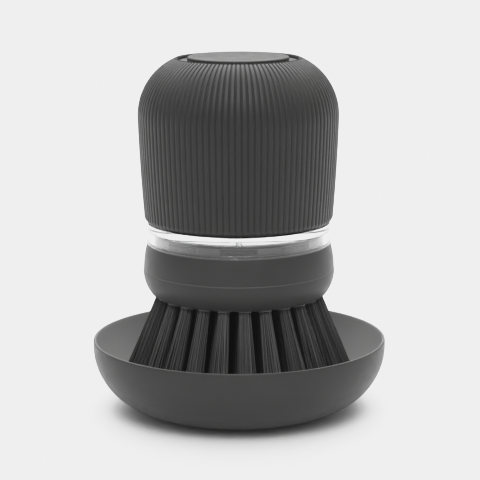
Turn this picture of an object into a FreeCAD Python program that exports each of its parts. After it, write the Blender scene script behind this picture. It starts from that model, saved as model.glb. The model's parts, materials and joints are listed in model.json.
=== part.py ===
import FreeCAD, Part
import math
import os

# A palm dish brush that gives soap when its button is pressed, standing in its drip bowl.
# Millimetres, +Z up. The origin is the middle of the bowl's foot, on the surface it stands on.

Vector = FreeCAD.Vector
UP = Vector(0, 0, 1)
ORIGIN = Vector(0, 0, 0)

# Drip bowl
BOWL_R = 46.5             # at its widest
BOWL_HEIGHT = 23.5
BOWL_WIDEST_Z = 21.5      # height of the widest place
BOWL_SIDE_R = 20.0        # radius of the rounded side, in section
BOWL_UNDER_TURN = 30.0    # slope where the side runs into the flatter underside, degrees
BOWL_FLOOR = 2.5
BOWL_RIM = 0.9            # thickness of the full round rim
BOWL_RIM_OPEN = 14.0      # slope at which the inside opens at the rim, degrees from upright
FOOT_RING_WIDTH = 4.0
FOOT_RECESS = 0.6

# Brush head
BRUSH_FACE_Z = 37.6       # underside of the head over the table
BLOCK_DEPTH = 8.6         # brush face to parting line
COLLAR_HEIGHT = 8.3       # parting line to top deck
COLLAR_TOP_R = 29.05
COLLAR_WALL = 1.6
SEAM_PROUD = 1.2          # the head is widest at the parting line, by this much over the collar's top
FACE_DRAW_IN = 3.85       # parting line to the edge of the brush face
DECK_THICK = 1.8
SPIGOT_PLAY = 0.25        # lugs to the tank's skirt
SPIGOT_WALL = 1.9
SPIGOT_HEIGHT = 3.0
LUG_COUNT = 9
LUG_WIDTH = 24.0          # degrees
LUG_PROUD = 0.35
LUG_HEIGHT = 1.7
LUG_INSET = 0.4           # below the spigot's top
LOCATING_RING_HEIGHT = 2.5
LOCATING_RING_WALL = 1.8
FIT = 0.05                # radial play of pieces that are pushed together
FUNNEL_BORE_R = 10.2
FUNNEL_WALL = 1.8
FUNNEL_HEIGHT = 9.0
FUNNEL_FLOOR = 1.2        # thickness at the spout
FUNNEL_SLOPE = 25.0       # of the funnel's floor, degrees
SPOUT_BORE_R = 1.6
SPOUT_LENGTH = 4.0
SOAP_HOLE_R = 2.5

# Tufts, in four rings
TUFT_RING_NAMES = ("tufts_outer", "tufts_second", "tufts_third", "tufts_inner")
OUTER_RING_INSET = 2.1    # edge of the brush face to the middle of the outer tufts
INNER_RING_R = 6.3
TUFT_PITCH = 6.36         # along each ring
OUTER_LEAN = 20.0         # lean of the outer tufts from upright, degrees
FIRST_TUFT_BEARING = 4.2  # degrees to the right of the front
TIP_CLEARANCE = 0.4       # tuft tips to the bowl
TUFT_R = 1.7
TUFT_FLARE = 2.9          # half angle at which the filaments spread, degrees
TUFT_HOLE_DEPTH = 7.0
ANCHOR_THICK = 0.4
ANCHOR_WIDTH = 2.6
ANCHOR_HEIGHT = 2.0

# Soap tank
BAND_INSET = 0.25         # clear band to the collar's top edge
BAND_LIP = 0.2            # fine lip round the foot of the band
BAND_LIP_HEIGHT = 0.9
SKIRT_WALL = 1.85
SKIRT_DEPTH = 3.8
TANK_FLOOR = 2.8
NECK_SPACE = 4.7          # neck to the cap's bore
CHAMBER_WALL = 2.4
CHAMBER_DEPTH = 31.4
OUTLET_R = 2.0
CAP_GAP = 0.2             # between the cap's edge and the tank's floor

# Slit valve under the tank floor
VALVE_FLANGE_R = 8.0
VALVE_FLANGE = 1.5
VALVE_DOME_R = 4.5
VALVE_DOME_DROP = 4.0
VALVE_SKIN = 1.0
SLIT_WIDTH = 0.3
SLIT_LENGTH = 5.0
RETAINER_THICK = 1.5
SOCKET_WALL = 1.7

# Gaskets
HEAD_GASKET = 0.8
HEAD_GASKET_INSET = 0.1
CAP_GASKET = 1.5
CAP_GASKET_INSET = 0.1

# Lid and air pump
LID_PLATE = 3.0
LID_PLAY = 0.2
LID_LEDGE = 1.0
LID_SKIRT = 7.5
LID_SKIRT_WALL = 2.0
THREAD_PLAY = 0.3
CYLINDER_WALL = 1.6
CYLINDER_HEIGHT = 8.5
PISTON_PLAY = 0.5
PISTON_THICK = 3.0
PISTON_ROOM = 4.2         # piston to lid at rest
PISTON_RECESS_R = 4.2
PISTON_RECESS = 1.6
STEM_R = 3.0
SEAL_DEPTH = 1.2
SEAL_HEIGHT = 1.4
AIR_STEM_R = 1.5
AIR_HEAD_R = 5.2
AIR_HEAD = 1.2
AIR_BULB_R = 2.3
AIR_BULB = 1.4
AIR_PORTS = 4
AIR_PORT_R = 0.7
AIR_PORT_RING_R = 3.4

# Ribbed cap
CAP_R = 31.5              # at its widest, over the ribs
WIDEST_OVER_LID = 0.6     # the widest place lies this far above the lid's underside
CAP_TAPER = 1.75          # the cap narrows by this much down to its rounded lower edge
CAP_ROUND = 2.0           # height of the rounded lower edge
CAP_EDGE_DRAW_IN = 1.7    # of the rounded lower edge
CAP_EDGE_LAND = 0.5       # flat ring at the lower edge
CAP_SIDE_BULGE = 0.2
SHOULDER_R = 19.5         # radius of the shoulder, in section
DOME_WALL = 2.4
SEAT_WIDTH = 1.1          # flat land under the lip that the bezel seats on
RIB_COUNT = 100
RIB_DEPTH = 0.45

# Button
BUTTON_R = 15.85
BUTTON_PROUD = 0.1        # over the cap's lip
BUTTON_EDGE = 0.4
BUTTON_DISH = 0.6
BUTTON_WALL = 1.6
BUTTON_SKIRT = 1.55
BUTTON_FLANGE = 1.55
BUTTON_FLANGE_THICK = 1.3
BUTTON_PLAY = 0.2
BOSS_WALL = 2.0
BOSS_GAP = 0.3            # boss to piston
BEZEL_FLANGE = 1.2
BEZEL_WIDTH = 2.75        # of the floor of the recess round the button
TROUGH_DEPTH = 1.8
BEZEL_PLAY = 0.1

# Button spring
SPRING_WIRE_R = 0.4
SPRING_PLAY = 0.25        # wire to pump cylinder, and wire to the button's skirt
SPRING_TURNS = 6
SPRING_END_GAP = 0.5      # between the close turns at each end
SPRING_SEAT = 0.05

# Heights worked out from the sizes above
SEAM_Z = BRUSH_FACE_Z + BLOCK_DEPTH
DECK_Z = SEAM_Z + COLLAR_HEIGHT
FLOOR_UNDER = DECK_Z + SKIRT_DEPTH
FLOOR_TOP = FLOOR_UNDER + TANK_FLOOR
CAP_Z = FLOOR_TOP + CAP_GAP
NECK_TOP = FLOOR_TOP + CHAMBER_DEPTH
LID_Z = NECK_TOP + CAP_GASKET
LID_TOP = LID_Z + LID_PLATE
WIDEST_Z = LID_Z + WIDEST_OVER_LID

# Radii worked out from the sizes above
SEAM_R = COLLAR_TOP_R + SEAM_PROUD
BRUSH_FACE_R = SEAM_R - FACE_DRAW_IN
COLLAR_BORE_R = COLLAR_TOP_R - COLLAR_WALL
BAND_R = COLLAR_TOP_R - BAND_INSET
SKIRT_BORE_R = BAND_R - SKIRT_WALL
SPIGOT_R = SKIRT_BORE_R - SPIGOT_PLAY - LUG_PROUD
SPIGOT_BORE_R = SPIGOT_R - SPIGOT_WALL
CAP_FOOT_R = CAP_R - CAP_TAPER
CAP_EDGE_R = CAP_FOOT_R - CAP_EDGE_DRAW_IN
CAP_BORE_R = CAP_EDGE_R - CAP_EDGE_LAND
NECK_R = CAP_BORE_R - NECK_SPACE
CHAMBER_R = NECK_R - CHAMBER_WALL
LID_R = CAP_BORE_R - LID_PLAY
LID_SKIRT_R = NECK_R + THREAD_PLAY
SOCKET_R = VALVE_FLANGE_R + FIT
SHOULDER_MID_R = CAP_R - SHOULDER_R
LIP_R = BUTTON_R + BUTTON_PLAY + BEZEL_WIDTH + BEZEL_PLAY
COIL_R = BUTTON_R - BUTTON_SKIRT - SPRING_PLAY - SPRING_WIRE_R
CYLINDER_R = COIL_R - SPRING_WIRE_R - SPRING_PLAY - CYLINDER_WALL
PISTON_R = CYLINDER_R - PISTON_PLAY


def dome_height(radius, from_axis):
    """Height of a round shoulder of the given section radius, at a distance from the axis."""
    return WIDEST_Z + math.sqrt(radius ** 2 - (from_axis - SHOULDER_MID_R) ** 2)


LIP_Z = dome_height(SHOULDER_R, LIP_R)
SEAT_Z = dome_height(SHOULDER_R - DOME_WALL, LIP_R + SEAT_WIDTH)
BUTTON_TOP = LIP_Z + BUTTON_PROUD
BUTTON_UNDER = BUTTON_TOP - BUTTON_DISH - BUTTON_WALL
BEZEL_UNDER = SEAT_Z - BEZEL_FLANGE
PISTON_Z = LID_TOP + PISTON_ROOM
PISTON_TOP = PISTON_Z + PISTON_THICK


def turned(start, *steps):
    """Solid of revolution about Z. A step is (r, z) for a straight run, or ((r, z), (r, z)) for an
    arc through the first point to the second. The outline closes itself."""
    edges = []
    here = Vector(start[0], 0, start[1])
    for step in steps + (start,):
        if isinstance(step[0], tuple):
            through = Vector(step[0][0], 0, step[0][1])
            there = Vector(step[1][0], 0, step[1][1])
            edges.append(Part.Arc(here, through, there).toShape())
        else:
            there = Vector(step[0], 0, step[1])
            if here.distanceToPoint(there) < 1e-7:
                continue
            edges.append(Part.LineSegment(here, there).toShape())
        here = there
    return Part.Face(Part.Wire(edges)).revolve(ORIGIN, UP, 360)


def ring(bore_r, outer_r, low, high):
    """Plain ring of square section."""
    return turned((bore_r, low), (outer_r, low), (outer_r, high), (bore_r, high))


def on_circle(centre, radius, degrees):
    """Point of a section circle, with the angle counted from the outward direction."""
    angle = math.radians(degrees)
    return (centre[0] + radius * math.cos(angle), centre[1] + radius * math.sin(angle))


def upright_arc_mid(start, end):
    """Middle of the arc that leaves start upright and runs to end, nearer the axis."""
    drop = start[0] - end[0]
    climb = end[1] - start[1]
    radius = (drop ** 2 + climb ** 2) / (2 * drop)
    half = math.asin(climb / radius) / 2
    return (start[0] - radius * (1 - math.cos(half)), start[1] + radius * math.sin(half))


def lying(solid, radius, height, lean, bearing):
    """Solid made along +Z, turned to point down and outwards by the lean, at a bearing from the front."""
    placed = solid.copy()
    placed.rotate(ORIGIN, Vector(0, 1, 0), 180 - lean)
    placed.translate(Vector(radius, 0, height))
    placed.rotate(ORIGIN, UP, bearing - 90)
    return placed


def bowl_circles():
    """Centre and radius of the tangent circles of the bowl's section: the side, the underside that runs
    from it to the flat foot, the rim, and the inside, which ends level on the floor."""
    turn = math.radians(BOWL_UNDER_TURN)
    opening = math.radians(BOWL_RIM_OPEN)
    side_mid = (BOWL_R - BOWL_SIDE_R, BOWL_WIDEST_Z)
    under_r = (BOWL_WIDEST_Z - BOWL_SIDE_R * math.cos(turn)) / (1 - math.cos(turn))
    under_mid = (side_mid[0] - (under_r - BOWL_SIDE_R) * math.sin(turn), under_r)
    rim_r = BOWL_RIM / 2
    rim_z = BOWL_HEIGHT - rim_r
    rim_mid = (side_mid[0] + math.sqrt((BOWL_SIDE_R - rim_r) ** 2 - (rim_z - BOWL_WIDEST_Z) ** 2), rim_z)
    inside_r = (rim_z + rim_r * math.sin(opening) - BOWL_FLOOR) / (1 - math.sin(opening))
    inside_mid = (rim_mid[0] - (rim_r + inside_r) * math.cos(opening), BOWL_FLOOR + inside_r)
    return (side_mid, BOWL_SIDE_R), (under_mid, under_r), (rim_mid, rim_r), (inside_mid, inside_r)


def drip_bowl():
    """Round bowl with a thin full round rim, standing on a flat foot ring."""
    side, under, rim, inside = bowl_circles()
    join_turn = BOWL_UNDER_TURN - 90
    rim_turn = math.degrees(math.atan2(rim[0][1] - side[0][1], rim[0][0] - side[0][0]))
    open_turn = 180 - BOWL_RIM_OPEN
    foot_r = under[0][0]
    recess_r = foot_r - FOOT_RING_WIDTH
    return turned(
        (0, FOOT_RECESS), (recess_r, FOOT_RECESS), (recess_r, 0), (foot_r, 0),
        (on_circle(*under, join_turn - BOWL_UNDER_TURN / 2), on_circle(*under, join_turn)),
        (on_circle(*side, (join_turn + rim_turn) / 2), on_circle(*side, rim_turn)),
        (on_circle(*rim, (rim_turn + open_turn) / 2), on_circle(*rim, open_turn)),
        (on_circle(*inside, -(BOWL_RIM_OPEN + 90) / 2), (inside[0][0], BOWL_FLOOR)),
        (0, BOWL_FLOOR))


def room_in_bowl(radius, height):
    """Distance from a point inside the bowl to the bowl's inner surface."""
    inside_mid, inside_r = bowl_circles()[3]
    if radius <= inside_mid[0]:
        return height - BOWL_FLOOR
    return inside_r - math.dist((radius, height), inside_mid)


def tuft_tip_radius(free):
    """Radius of a tuft's flared end, for its free length."""
    return TUFT_R + free * math.tan(math.radians(TUFT_FLARE))


def tuft_length(radius, lean):
    """Free length of a tuft at which its flared end just keeps the tip clearance over the bowl."""
    across = math.cos(math.radians(lean))
    along = math.sin(math.radians(lean))
    short, long = 0.0, BRUSH_FACE_Z / across
    while long - short > 1e-6:
        free = (short + long) / 2
        rooms = []
        for side in (-1, 0, 1):
            offset = side * tuft_tip_radius(free)
            tip = (radius + free * along + offset * across, BRUSH_FACE_Z - free * across + offset * along)
            rooms.append(room_in_bowl(*tip))
        if min(rooms) > TIP_CLEARANCE:
            short = free
        else:
            long = free
    return short


def tuft_rings():
    """Radius and lean of each ring by name. The rings are evenly spaced from the outer to the inner one,
    and lean in proportion to their radius."""
    outer_r = BRUSH_FACE_R - OUTER_RING_INSET
    step = (outer_r - INNER_RING_R) / (len(TUFT_RING_NAMES) - 1)
    radii = [outer_r - step * place for place in range(len(TUFT_RING_NAMES))]
    return {name: (radius, OUTER_LEAN * radius / outer_r) for name, radius in zip(TUFT_RING_NAMES, radii)}


def round_the_ring(solid, radius, lean):
    """Copies of a solid at even bearings round the brush face, the first just to the right of the front."""
    count = round(2 * math.pi * radius / TUFT_PITCH)
    bearings = [FIRST_TUFT_BEARING + 360.0 * step / count for step in range(count)]
    return [lying(solid, radius, BRUSH_FACE_Z, lean, bearing) for bearing in bearings]


def tuft_ring(name):
    """One ring of tufts: each a straight root in its hole, then a flaring bundle down to the tip."""
    radius, lean = tuft_rings()[name]
    root = TUFT_HOLE_DEPTH - ANCHOR_HEIGHT
    free = tuft_length(radius, lean)
    bundle = turned((0, -root), (TUFT_R, -root), (TUFT_R, 0), (tuft_tip_radius(free), free), (0, free))
    return Part.makeCompound(round_the_ring(bundle, radius, lean))


def tuft_anchors():
    """Flat anchor between the end of each tuft hole and the tuft's root."""
    corner = Vector(-ANCHOR_WIDTH / 2, -ANCHOR_THICK / 2, -TUFT_HOLE_DEPTH)
    plate = Part.makeBox(ANCHOR_WIDTH, ANCHOR_THICK, ANCHOR_HEIGHT, corner)
    anchors = []
    for radius, lean in tuft_rings().values():
        anchors += round_the_ring(plate, radius, lean)
    return Part.makeCompound(anchors)


def bristle_block():
    """Lower half of the head: a disc with a rounded flank, tuft holes, a soap hole and a ring that
    locates the upper half."""
    face_corner = (BRUSH_FACE_R, BRUSH_FACE_Z)
    seam = (SEAM_R, SEAM_Z)
    mirrored = upright_arc_mid(seam, (BRUSH_FACE_R, SEAM_Z + BLOCK_DEPTH))
    flank_mid = (mirrored[0], 2 * SEAM_Z - mirrored[1])
    ring_r = COLLAR_BORE_R - FIT
    ring_top = SEAM_Z + LOCATING_RING_HEIGHT
    block = turned(
        (SOAP_HOLE_R, BRUSH_FACE_Z), face_corner, (flank_mid, seam), (ring_r, SEAM_Z), (ring_r, ring_top),
        (ring_r - LOCATING_RING_WALL, ring_top), (ring_r - LOCATING_RING_WALL, SEAM_Z), (SOAP_HOLE_R, SEAM_Z))
    mouth = 2 * TUFT_R
    hole = Part.makeCylinder(TUFT_R + FIT, TUFT_HOLE_DEPTH + mouth, Vector(0, 0, -TUFT_HOLE_DEPTH))
    holes = []
    for radius, lean in tuft_rings().values():
        holes += round_the_ring(hole, radius, lean)
    return block.cut(Part.makeCompound(holes))


def soap_funnel():
    """Cup on the block under the valve, with a sloped floor and a spout in the soap hole."""
    out_r = FUNNEL_BORE_R + FUNNEL_WALL
    top = SEAM_Z + FUNNEL_HEIGHT
    floor_rise = (FUNNEL_BORE_R - SPOUT_BORE_R) * math.tan(math.radians(FUNNEL_SLOPE))
    spout_z = SEAM_Z - SPOUT_LENGTH
    spout_r = SOAP_HOLE_R - FIT
    return turned(
        (SPOUT_BORE_R, spout_z), (spout_r, spout_z), (spout_r, SEAM_Z), (out_r, SEAM_Z), (out_r, top),
        (FUNNEL_BORE_R, top), (FUNNEL_BORE_R, SEAM_Z + FUNNEL_FLOOR + floor_rise),
        (SPOUT_BORE_R, SEAM_Z + FUNNEL_FLOOR))


def head_collar():
    """Upper half of the head: outer wall, top deck, and a spigot with lugs that the tank turns onto."""
    seam = (SEAM_R, SEAM_Z)
    top = (COLLAR_TOP_R, DECK_Z)
    spigot_top = DECK_Z + SPIGOT_HEIGHT
    shell = turned(
        (COLLAR_BORE_R, SEAM_Z), seam, (upright_arc_mid(seam, top), top), (SPIGOT_R, DECK_Z),
        (SPIGOT_R, spigot_top), (SPIGOT_BORE_R, spigot_top), (SPIGOT_BORE_R, DECK_Z - DECK_THICK),
        (COLLAR_BORE_R, DECK_Z - DECK_THICK))
    lug_foot = Vector(0, 0, spigot_top - LUG_INSET - LUG_HEIGHT)
    lug = Part.makeCylinder(SPIGOT_R + LUG_PROUD, LUG_HEIGHT, lug_foot, UP, LUG_WIDTH)
    lug = lug.cut(Part.makeCylinder((SPIGOT_BORE_R + SPIGOT_R) / 2, spigot_top))
    for step in range(LUG_COUNT):
        turned_lug = lug.copy()
        turned_lug.rotate(ORIGIN, UP, 360.0 * step / LUG_COUNT - 90 - LUG_WIDTH / 2)
        shell = shell.fuse(turned_lug)
    return shell.removeSplitter()


def head_gasket():
    """Flat ring squeezed between the spigot's top and the tank floor."""
    low = DECK_Z + SPIGOT_HEIGHT
    return ring(SPIGOT_BORE_R + HEAD_GASKET_INSET, SPIGOT_R - HEAD_GASKET_INSET, low, low + HEAD_GASKET)


def soap_tank():
    """Clear tank: skirt over the head's spigot, floor plate, chamber with its neck, valve socket below."""
    lip_r = BAND_R + BAND_LIP
    socket_z = FLOOR_UNDER - VALVE_FLANGE - RETAINER_THICK
    return turned(
        (SKIRT_BORE_R, DECK_Z), (lip_r, DECK_Z), (lip_r, DECK_Z + BAND_LIP_HEIGHT),
        (BAND_R, DECK_Z + BAND_LIP_HEIGHT), (BAND_R, FLOOR_TOP), (NECK_R, FLOOR_TOP), (NECK_R, NECK_TOP),
        (CHAMBER_R, NECK_TOP), (CHAMBER_R, FLOOR_TOP), (OUTLET_R, FLOOR_TOP), (OUTLET_R, FLOOR_UNDER),
        (SOCKET_R, FLOOR_UNDER), (SOCKET_R, socket_z), (SOCKET_R + SOCKET_WALL, socket_z),
        (SOCKET_R + SOCKET_WALL, FLOOR_UNDER), (SKIRT_BORE_R, FLOOR_UNDER))


def slit_valve():
    """Soft flange with a hanging dome, slit across its tip."""
    flange_z = FLOOR_UNDER - VALVE_FLANGE
    tip_z = flange_z - VALVE_DOME_DROP
    inner_r = VALVE_DOME_R - VALVE_SKIN
    wall_end = tip_z + VALVE_DOME_R
    round_mid = on_circle((0, wall_end), VALVE_DOME_R, -45)
    inner_mid = on_circle((0, wall_end), inner_r, -45)
    body = turned(
        (0, tip_z), (round_mid, (VALVE_DOME_R, wall_end)), (VALVE_DOME_R, flange_z),
        (VALVE_FLANGE_R, flange_z), (VALVE_FLANGE_R, FLOOR_UNDER), (inner_r, FLOOR_UNDER),
        (inner_r, wall_end), (inner_mid, (0, tip_z + VALVE_SKIN)))
    slit_corner = Vector(-SLIT_LENGTH / 2, -SLIT_WIDTH / 2, tip_z - VALVE_SKIN)
    return body.cut(Part.makeBox(SLIT_LENGTH, SLIT_WIDTH, VALVE_DOME_R, slit_corner))


def valve_retainer():
    """Ring pushed into the socket under the valve's flange."""
    high = FLOOR_UNDER - VALVE_FLANGE
    return ring(VALVE_DOME_R + FIT, SOCKET_R - FIT, high - RETAINER_THICK, high)


def cap_gasket():
    """Flat ring between the tank's neck and the lid."""
    return ring(CHAMBER_R + CAP_GASKET_INSET, NECK_R - CAP_GASKET_INSET, NECK_TOP, LID_Z)


def inner_lid():
    """Lid plate with a threaded skirt over the tank's neck and the pump's cylinder on top."""
    skirt_z = LID_Z - LID_SKIRT
    cylinder_top = LID_TOP + CYLINDER_HEIGHT
    cylinder_out = CYLINDER_R + CYLINDER_WALL
    hole_r = AIR_STEM_R + FIT
    lid = turned(
        (hole_r, LID_Z), (LID_SKIRT_R, LID_Z), (LID_SKIRT_R, skirt_z),
        (LID_SKIRT_R + LID_SKIRT_WALL, skirt_z), (LID_SKIRT_R + LID_SKIRT_WALL, LID_Z), (LID_R, LID_Z),
        (LID_R, LID_TOP), (cylinder_out, LID_TOP), (cylinder_out, cylinder_top), (CYLINDER_R, cylinder_top),
        (CYLINDER_R, LID_TOP), (hole_r, LID_TOP))
    for step in range(AIR_PORTS):
        angle = 2 * math.pi * step / AIR_PORTS
        foot = Vector(AIR_PORT_RING_R * math.cos(angle), AIR_PORT_RING_R * math.sin(angle), LID_Z)
        lid = lid.cut(Part.makeCylinder(AIR_PORT_R, LID_PLATE, foot))
    return lid


def air_valve():
    """Umbrella valve: thin head under the lid, stem through it, bulb above."""
    return turned(
        (0, LID_Z - AIR_HEAD), (AIR_STEM_R, LID_Z - AIR_HEAD), (AIR_HEAD_R, LID_Z - AIR_HEAD / 3),
        (AIR_HEAD_R, LID_Z), (AIR_STEM_R, LID_Z), (AIR_STEM_R, LID_TOP), (AIR_BULB_R, LID_TOP),
        (AIR_STEM_R, LID_TOP + AIR_BULB), (0, LID_TOP + AIR_BULB))


def rib_curve(depth):
    """Edges of the cap's section from its lower edge over the side to past the lip, for a crest when
    the depth is 0 and for a groove of that depth. Grooves die out at the lower edge."""
    foot = (CAP_FOOT_R - depth, CAP_Z + CAP_ROUND)
    widest = (CAP_R - depth, WIDEST_Z)
    edge = (CAP_EDGE_R, CAP_Z)
    mirrored = upright_arc_mid(foot, (CAP_EDGE_R, foot[1] + CAP_ROUND))
    round_mid = (mirrored[0], 2 * foot[1] - mirrored[1])
    side_mid = ((foot[0] + widest[0]) / 2 + CAP_SIDE_BULGE, (foot[1] + widest[1]) / 2)
    radius = SHOULDER_R - depth
    turn = math.degrees(math.acos((LIP_R - RIB_DEPTH - SHOULDER_MID_R) / radius))
    centre = (SHOULDER_MID_R, WIDEST_Z)
    runs = [(edge, round_mid, foot), (foot, side_mid, widest),
            (widest, on_circle(centre, radius, turn / 2), on_circle(centre, radius, turn))]
    return [Part.Arc(*[Vector(r, 0, z) for r, z in run]).toShape() for run in runs]


def ribbed_body():
    """Solid inside the ribbed surface: ruled flanks from each crest to the grooves beside it, repeated
    round the axis, closed by a flat polygon below and by triangles to the axis above."""
    half_pitch = 180.0 / RIB_COUNT
    crest = rib_curve(0)
    groove = rib_curve(RIB_DEPTH)
    flanks = []
    apex = Vector(0, 0, LIP_Z)
    for side in (-1, 1):
        for crest_edge, groove_edge in zip(crest, groove):
            beside = groove_edge.copy()
            beside.rotate(ORIGIN, UP, side * half_pitch)
            flanks.append(Part.makeRuledSurface(crest_edge, beside))
        ends = [edge.Vertexes[-1].Point for edge in (crest_edge, beside)]
        flanks.append(Part.Face(Part.makePolygon(ends + [apex] + ends[:1])))
    faces = []
    foot = []
    for step in range(RIB_COUNT):
        bearing = 360.0 * step / RIB_COUNT
        for flank in flanks:
            face = flank.copy()
            face.rotate(ORIGIN, UP, bearing)
            faces.append(face)
        for edge, turn in ((crest[0], bearing), (groove[0], bearing + half_pitch)):
            foot.append(FreeCAD.Rotation(UP, turn).multVec(edge.Vertexes[0].Point))
    faces.append(Part.Face(Part.makePolygon(foot + foot[:1])))
    shell = Part.makeShell(faces)
    shell.sewShape()
    body = Part.Solid(shell)
    if body.Volume < 0:
        body.reverse()
    return body


def ribbed_cap():
    """Ribbed shell with a bore for the lid, a ledge that the lid seats on, a domed roof and the
    button's round opening."""
    roof_r = SHOULDER_R - DOME_WALL
    ledge_r = CAP_BORE_R - LID_LEDGE
    seat_r = LIP_R + SEAT_WIDTH
    start_turn = math.degrees(math.acos((ledge_r - SHOULDER_MID_R) / roof_r))
    end_turn = math.degrees(math.acos((seat_r - SHOULDER_MID_R) / roof_r))
    centre = (SHOULDER_MID_R, WIDEST_Z)
    below = CAP_Z - CAP_ROUND
    above = WIDEST_Z + 2 * SHOULDER_R
    cavity = turned(
        (0, below), (CAP_BORE_R, below), (CAP_BORE_R, LID_TOP), (ledge_r, LID_TOP),
        on_circle(centre, roof_r, start_turn),
        (on_circle(centre, roof_r, (start_turn + end_turn) / 2), (seat_r, SEAT_Z)),
        (LIP_R, SEAT_Z), (LIP_R, above), (0, above))
    return ribbed_body().cut(cavity)


def button_bezel():
    """Ring at the bottom of the recess; its flange seats under the cap's lip and stops the button."""
    bore = BUTTON_R + BUTTON_PLAY
    out_r = LIP_R - BEZEL_PLAY
    return turned(
        (bore, BEZEL_UNDER), (out_r + SEAT_WIDTH, BEZEL_UNDER), (out_r + SEAT_WIDTH, SEAT_Z),
        (out_r, SEAT_Z), (out_r, LIP_Z - TROUGH_DEPTH), (bore, LIP_Z - TROUGH_DEPTH))


def push_button():
    """Dished round button with a skirt, a flange under the bezel and a boss for the piston's stem."""
    skirt_bore = BUTTON_R - BUTTON_SKIRT
    flange_r = BUTTON_R + BUTTON_FLANGE
    flange_z = BEZEL_UNDER - BUTTON_FLANGE_THICK
    edge_r = BUTTON_R - BUTTON_EDGE
    stem_bore = STEM_R + FIT
    boss_z = PISTON_TOP + BOSS_GAP
    dish_mid = (edge_r / 2, BUTTON_TOP - BUTTON_DISH * 3 / 4)
    edge_mid = on_circle((edge_r, BUTTON_TOP - BUTTON_EDGE), BUTTON_EDGE, 45)
    return turned(
        (0, BUTTON_UNDER), (0, BUTTON_TOP - BUTTON_DISH), (dish_mid, (edge_r, BUTTON_TOP)),
        (edge_mid, (BUTTON_R, BUTTON_TOP - BUTTON_EDGE)), (BUTTON_R, BEZEL_UNDER), (flange_r, BEZEL_UNDER),
        (flange_r, flange_z), (skirt_bore, flange_z), (skirt_bore, BUTTON_UNDER),
        (stem_bore + BOSS_WALL, BUTTON_UNDER), (stem_bore + BOSS_WALL, boss_z), (stem_bore, boss_z),
        (stem_bore, BUTTON_UNDER))


def pump_piston():
    """Piston with a groove for its seal, a hollow that clears the air valve, and a stem to the button."""
    groove_r = PISTON_R - SEAL_DEPTH
    groove_low = PISTON_Z + (PISTON_THICK - SEAL_HEIGHT) / 2 - FIT
    groove_high = groove_low + SEAL_HEIGHT + 2 * FIT
    return turned(
        (0, PISTON_Z + PISTON_RECESS), (PISTON_RECESS_R, PISTON_Z + PISTON_RECESS),
        (PISTON_RECESS_R, PISTON_Z), (PISTON_R, PISTON_Z), (PISTON_R, groove_low), (groove_r, groove_low),
        (groove_r, groove_high), (PISTON_R, groove_high), (PISTON_R, PISTON_TOP), (STEM_R, PISTON_TOP),
        (STEM_R, BUTTON_UNDER), (0, BUTTON_UNDER))


def piston_seal():
    """Ring seal with a rounded outer lip that runs in the cylinder."""
    low = PISTON_Z + (PISTON_THICK - SEAL_HEIGHT) / 2
    high = low + SEAL_HEIGHT
    bore = PISTON_R - SEAL_DEPTH + FIT
    lip_r = CYLINDER_R - FIT
    shoulder_r = lip_r - PISTON_PLAY
    return turned(
        (bore, low), (shoulder_r, low), ((lip_r, (low + high) / 2), (shoulder_r, high)), (bore, high))


def arc_from(start, tangent, end):
    """Arc that leaves the start along the tangent and runs to the end."""
    chord = end - start
    along = Vector(chord).normalize()
    across = tangent - along * tangent.dot(along)
    lean = tangent.getAngle(chord)
    middle = start + chord * 0.5 + across.normalize() * (chord.Length / 2 * math.tan(lean / 2))
    return Part.Arc(start, middle, end).toShape()


def biarc(start, out, end, into):
    """Two tangent arcs from a point and direction to another point and direction."""
    chord = end - start
    both = out + into
    spread = 2 * (1 - out.dot(into))
    reach = (math.sqrt(chord.dot(both) ** 2 + spread * chord.dot(chord)) - chord.dot(both)) / spread
    middle = (start + out * reach + end - into * reach) * 0.5
    turning = (end - into * reach - start - out * reach).normalize()
    return [arc_from(start, out, middle), arc_from(middle, turning, end)]


def button_spring():
    """Coil between lid and button, close wound for one turn at each end."""
    low = LID_TOP + SPRING_WIRE_R + SPRING_SEAT
    high = BUTTON_UNDER - SPRING_WIRE_R - SPRING_SEAT
    end_pitch = 2 * SPRING_WIRE_R + SPRING_END_GAP
    open_pitch = (high - low - 2 * end_pitch) / (SPRING_TURNS - 2)

    def point(turns):
        if turns < 1:
            height = low + end_pitch * turns
        elif turns > SPRING_TURNS - 1:
            height = high - end_pitch * (SPRING_TURNS - turns)
        else:
            height = low + end_pitch + open_pitch * (turns - 1)
        angle = 2 * math.pi * turns
        return Vector(COIL_R * math.cos(angle), COIL_R * math.sin(angle), height)

    def direction(turns):
        step = 0.125
        first = point(max(turns - step, 0))
        last = point(min(turns + step, SPRING_TURNS))
        angle = 2 * math.pi * turns
        flat = Vector(-math.sin(angle), math.cos(angle), 0)
        span = 2 * math.pi * COIL_R * (min(turns + step, SPRING_TURNS) - max(turns - step, 0))
        return (flat + UP * ((last.z - first.z) / span)).normalize()

    quarters = [step / 4 for step in range(4 * SPRING_TURNS + 1)]
    edges = []
    for begin, stop in zip(quarters, quarters[1:]):
        edges += biarc(point(begin), direction(begin), point(stop), direction(stop))
    section = Part.Wire(Part.Circle(point(0), direction(0), SPRING_WIRE_R).toShape())
    coil = Part.Wire(edges).makePipeShell([section], True, False)
    print("button_spring least gap", round(min(end_pitch, open_pitch) - 2 * SPRING_WIRE_R, 2))
    length = sum(edge.Length for edge in edges)
    print("button_spring volume ratio", round(coil.Volume / (math.pi * SPRING_WIRE_R ** 2 * length), 4))
    return coil


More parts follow.
